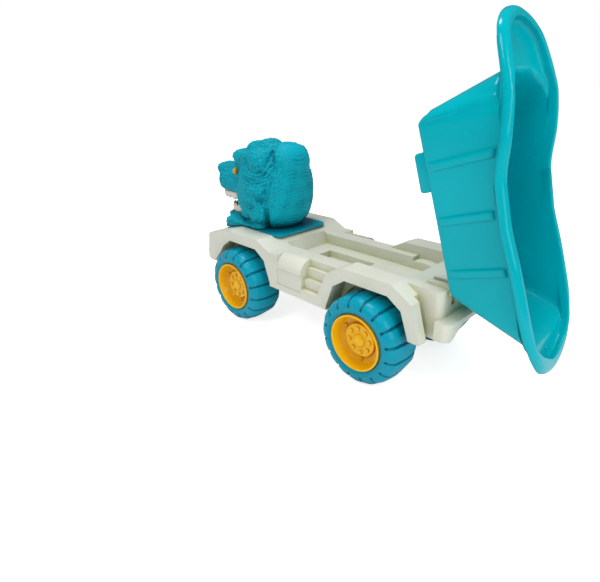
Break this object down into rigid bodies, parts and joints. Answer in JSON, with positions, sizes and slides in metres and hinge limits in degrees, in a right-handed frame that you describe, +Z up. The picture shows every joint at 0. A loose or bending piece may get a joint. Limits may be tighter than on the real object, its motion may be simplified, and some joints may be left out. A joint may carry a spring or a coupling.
{
  "type": "toy dump truck",
  "caption": "Toy dump truck with a dinosaur head on the bonnet, four rolling wheels on two axles and a scoop-shaped bed that tips to the rear.",
  "frame": {"origin": "centre of the undertray's flat underside, midway between the two axles and 38 mm above the ground the wheels stand on", "axes": "+X to the truck's rear, -Y to its left side, +Z up; the nose is at -X"},
  "size_m": [0.4747, 0.1666, 0.3338],
  "materials": {
    "cream_plastic": "satin",
    "bed_plastic": "gloss",
    "plate_plastic": "satin",
    "head_vinyl": "matte",
    "tyre_plastic": "satin",
    "hub_plastic": "gloss",
    "tooth_plastic": "satin",
    "mouth_black": "matte",
    "eye_plastic": "gloss",
    "steel": "brushed"
  },
  "bodies": {
    "chassis": {"chassis_shell": "cream_plastic", "undertray": "cream_plastic", "undertray_screws": "steel", "head_plate": "plate_plastic", "head_shell": "head_vinyl", "left_eye": "eye_plastic", "right_eye": "eye_plastic", "upper_teeth": "tooth_plastic", "lower_teeth": "tooth_plastic", "mouth_lining": "mouth_black", "head_screws": "steel", "hinge_pin": "steel"},
    "bed": {"bed": "bed_plastic"},
    "front_wheels": {"front_axle": "steel", "front_washers": "steel", "front_left_tyre": "tyre_plastic", "front_left_hub": "hub_plastic", "front_left_cap": "hub_plastic", "front_right_tyre": "tyre_plastic", "front_right_hub": "hub_plastic", "front_right_cap": "hub_plastic"},
    "rear_wheels": {"rear_axle": "steel", "rear_washers": "steel", "rear_left_tyre": "tyre_plastic", "rear_left_hub": "hub_plastic", "rear_left_cap": "hub_plastic", "rear_right_tyre": "tyre_plastic", "rear_right_hub": "hub_plastic", "rear_right_cap": "hub_plastic"}
  },
  "joints": [
    {"name": "bed_tip", "type": "hinge", "parent": "chassis", "child": "bed", "pos_m": [0.168, 0, 0.072], "axis": [0, 1, 0], "range_deg": [-72.5, 0]},
    {"name": "front_axle_spin", "type": "hinge", "parent": "chassis", "child": "front_wheels", "pos_m": [-0.1015, 0, 0.01], "axis": [0, 1, 0], "continuous": true},
    {"name": "rear_axle_spin", "type": "hinge", "parent": "chassis", "child": "rear_wheels", "pos_m": [0.1015, 0, 0.01], "axis": [0, 1, 0], "continuous": true}
  ]
}
